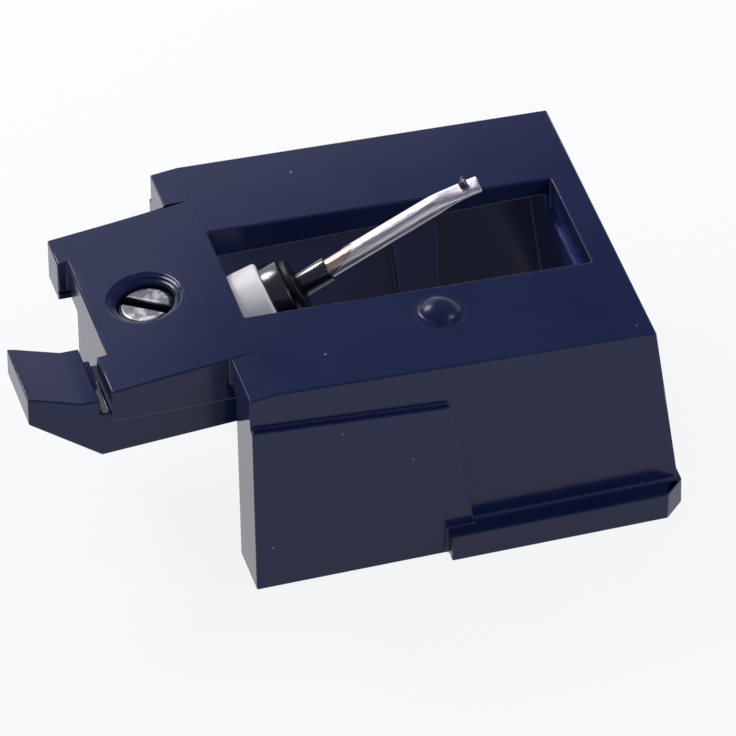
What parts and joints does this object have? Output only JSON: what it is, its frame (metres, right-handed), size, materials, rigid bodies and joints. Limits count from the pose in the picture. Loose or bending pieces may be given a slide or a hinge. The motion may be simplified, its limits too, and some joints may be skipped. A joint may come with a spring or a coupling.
{
  "type": "turntable stylus",
  "caption": "Replacement turntable stylus unit: a black moulded housing with a window and a rear tongue, a white bush, and a sprung aluminium cantilever that carries a diamond tip.",
  "frame": {"origin": "middle of the pocket's open rear end: on the centreline, in the plane of the shoulder, level with the bottom rims", "axes": "+X from the shoulder to the nose, +Y to the side without the hook, +Z from the rims to the side where the tip stands"},
  "size_m": [0.018, 0.0116, 0.0084],
  "materials": {
    "black_moulding": "satin moulded plastic",
    "screw_steel": "bright turned",
    "white_nylon": "smooth",
    "damper_rubber": "smooth black",
    "spring_wire": "drawn",
    "stop_brass": "turned",
    "magnet_black": "black coated",
    "sleeve_black": "gloss",
    "copper": "drawn",
    "aluminium_tube": "drawn",
    "tip_metal": "ground",
    "diamond": "polished"
  },
  "bodies": {
    "unit": {"housing": "black_moulding", "fixing_screw": "screw_steel", "bush": "white_nylon", "damper": "damper_rubber", "tension_wire": "spring_wire", "wire_stop": "stop_brass"},
    "gimbal": {"damper_washer": "stop_brass"},
    "arm": {"magnet": "magnet_black", "sleeve": "sleeve_black", "joint_tube": "copper", "cantilever": "aluminium_tube", "tip_shank": "tip_metal", "diamond": "diamond"}
  },
  "joints": [
    {"name": "cantilever_sway", "type": "hinge", "parent": "unit", "child": "gimbal", "pos_m": [0.00286, 0, 0.0057], "axis": [-0.342, 0, 0.9397], "range_deg": [-3, 3], "stiffness_Nm_per_rad": 0.0015},
    {"name": "cantilever_lift", "type": "hinge", "parent": "gimbal", "child": "arm", "pos_m": [0.00286, 0, 0.0057], "axis": [0, -1, 0], "range_deg": [-7, 1], "stiffness_Nm_per_rad": 0.0015}
  ]
}
